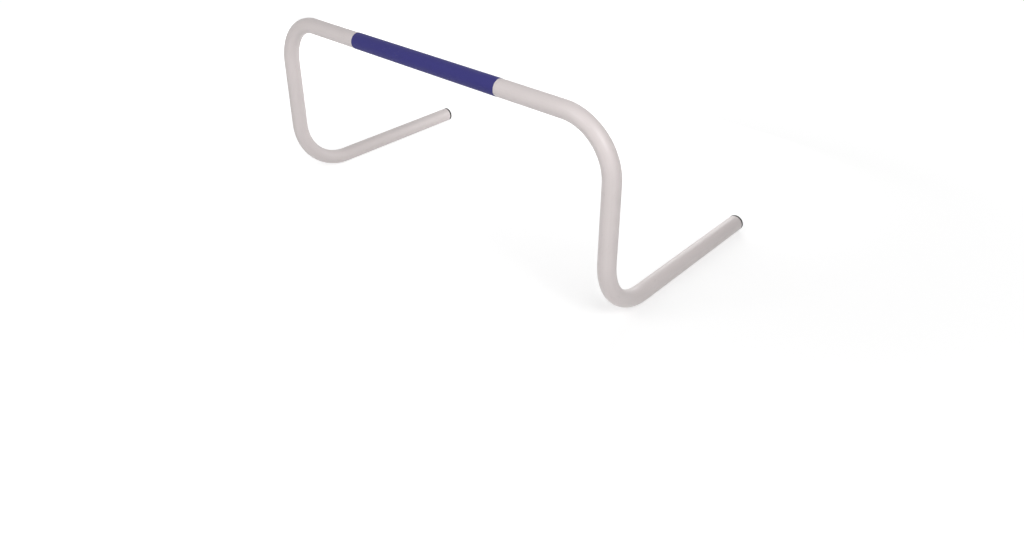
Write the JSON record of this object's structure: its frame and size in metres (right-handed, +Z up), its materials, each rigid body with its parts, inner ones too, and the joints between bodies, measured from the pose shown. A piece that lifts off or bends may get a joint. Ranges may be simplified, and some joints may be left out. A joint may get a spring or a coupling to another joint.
{
  "type": "speed hurdle",
  "caption": "Low free-standing training hurdle bent from round plastic tube: a crossbar with a colour band on upright legs that turn back into long feet with plugged ends.",
  "frame": {"origin": "on the floor, under the middle of the hurdle's length and depth", "axes": "+X along the crossbar, +Y the way the feet point, +Z up"},
  "size_m": [0.692, 0.3652, 0.3052],
  "materials": {
    "tube": "satin",
    "band": "satin",
    "plug": "satin",
    "ballast": "matte"
  },
  "bodies": {
    "root": {"frame_tube": "tube", "colour_band": "band", "left_end_plug": "plug", "right_end_plug": "plug", "left_ballast_slug": "ballast", "right_ballast_slug": "ballast"}
  },
  "joints": []
}
